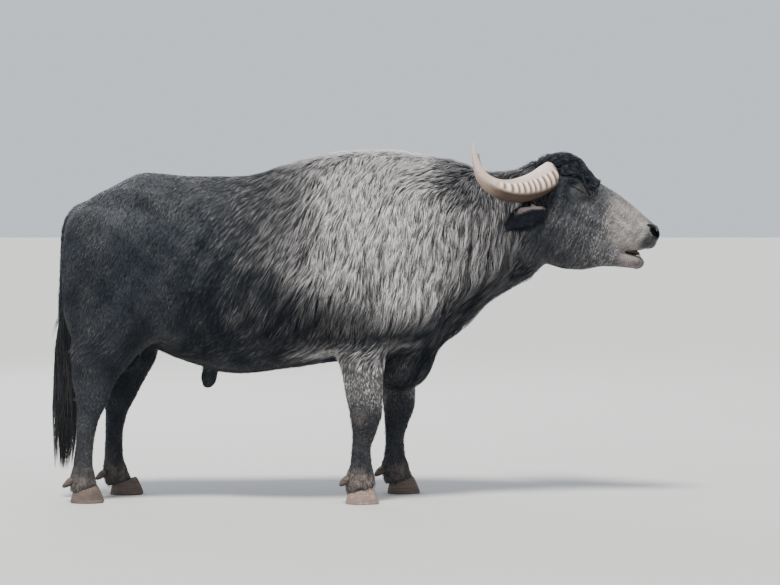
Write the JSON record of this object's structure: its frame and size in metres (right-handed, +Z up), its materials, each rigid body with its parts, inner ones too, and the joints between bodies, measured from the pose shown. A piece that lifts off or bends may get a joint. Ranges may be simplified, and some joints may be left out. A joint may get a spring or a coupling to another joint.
{
  "type": "water buffalo",
  "caption": "Life-size standing water buffalo bull with a black shaggy coat, swept-back ridged horns, hanging ears, cloven hooves and a tufted tail; a still display model.",
  "frame": {"origin": "on the floor under the middle of the whole outline, between the horns' and belly's widest points and halfway from the tail to the muzzle", "axes": "+X forwards towards the muzzle, +Y to the animal's left, +Z up"},
  "size_m": [2.4777, 0.7807, 1.458],
  "materials": {
    "coat": "near-black hide under grey-brown to black hair: long and shaggy on shoulders and neck, short and sleek on the quarters and legs",
    "switch_hair": "black stringy tail hair with browner ends",
    "horn": "pale tan horn with cross ridges, browner underside, smooth greyish tip",
    "eye": "dark brown wet eye",
    "hoof": "dull grey-brown hoof, scuffed paler at the toe"
  },
  "bodies": {
    "root": {"trunk": "coat", "neck": "coat", "head": "coat", "foreleg_left": "coat", "foreleg_right": "coat", "hindleg_left": "coat", "hindleg_right": "coat", "ear_left": "coat", "ear_right": "coat", "tail": "coat", "tail_switch": "switch_hair", "horn_left": "horn", "horn_right": "horn", "eye_left": "eye", "eye_right": "eye", "foreleg_left_claw_left": "hoof", "foreleg_left_dewclaw_left": "hoof", "foreleg_left_claw_right": "hoof", "foreleg_left_dewclaw_right": "hoof", "foreleg_right_claw_left": "hoof", "foreleg_right_dewclaw_left": "hoof", "foreleg_right_claw_right": "hoof", "foreleg_right_dewclaw_right": "hoof", "hindleg_left_claw_left": "hoof", "hindleg_left_dewclaw_left": "hoof", "hindleg_left_claw_right": "hoof", "hindleg_left_dewclaw_right": "hoof", "hindleg_right_claw_left": "hoof", "hindleg_right_dewclaw_left": "hoof", "hindleg_right_claw_right": "hoof", "hindleg_right_dewclaw_right": "hoof"}
  },
  "joints": []
}
